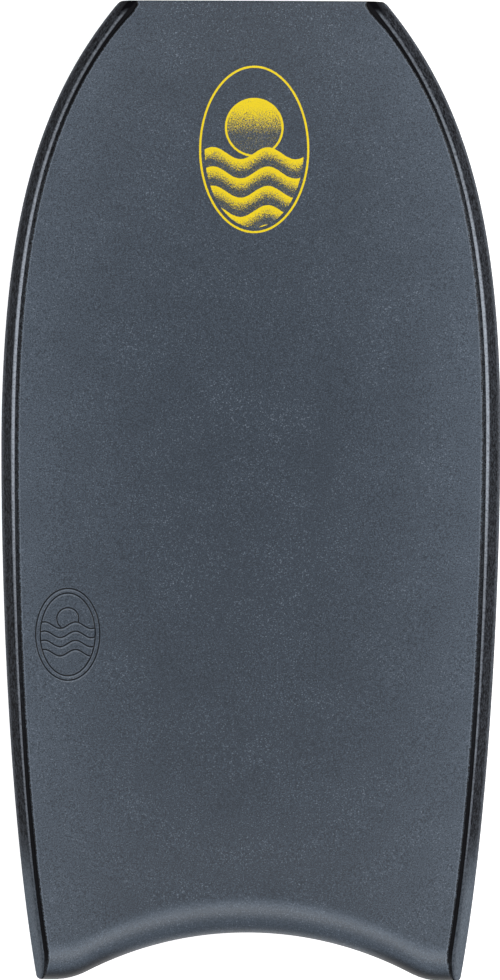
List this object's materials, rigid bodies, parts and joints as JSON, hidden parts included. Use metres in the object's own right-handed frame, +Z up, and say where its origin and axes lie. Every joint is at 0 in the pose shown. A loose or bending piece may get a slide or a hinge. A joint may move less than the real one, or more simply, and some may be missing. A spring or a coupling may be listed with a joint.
{
  "type": "bodyboard",
  "caption": "Prone-riding foam bodyboard with a crescent tail, chine rails, a rolled tail edge and a slick, channelled bottom.",
  "frame": {"origin": "centre of the bounding box's bottom: on the centreline at mid length, level with the flat of the bottom", "axes": "+Y towards the nose, +Z up out of the deck, +X to the right seen from above with the nose ahead"},
  "size_m": [0.546, 1.067, 0.089],
  "materials": {
    "deck_foam": "fine-grained closed-cell polyethylene foam skin, slate grey",
    "rail_foam": "textured closed-cell polyethylene foam strip, charcoal",
    "pin_line_black": "smooth black foam strip",
    "slick_plastic": "smooth semi-gloss ionomer sheet, black",
    "core_foam": "white expanded bead foam",
    "mesh_fibre": "open plastic fibre mesh",
    "stringer_carbon": "carbon fibre and resin tube",
    "plug_plastic": "moulded plastic"
  },
  "bodies": {
    "root": {"core": "core_foam", "stringer_tube": "stringer_carbon", "stringer_nose_plug": "plug_plastic", "stringer_tail_plug": "plug_plastic", "slick_mesh": "mesh_fibre", "slick_skin": "slick_plastic", "deck_skin": "deck_foam", "upper_rail_left": "rail_foam", "upper_rail_right": "rail_foam", "lower_rail_left": "rail_foam", "lower_rail_right": "rail_foam", "pin_line_left": "pin_line_black", "pin_line_right": "pin_line_black", "nose_bumper": "rail_foam", "tail_bumper": "rail_foam"}
  },
  "joints": []
}
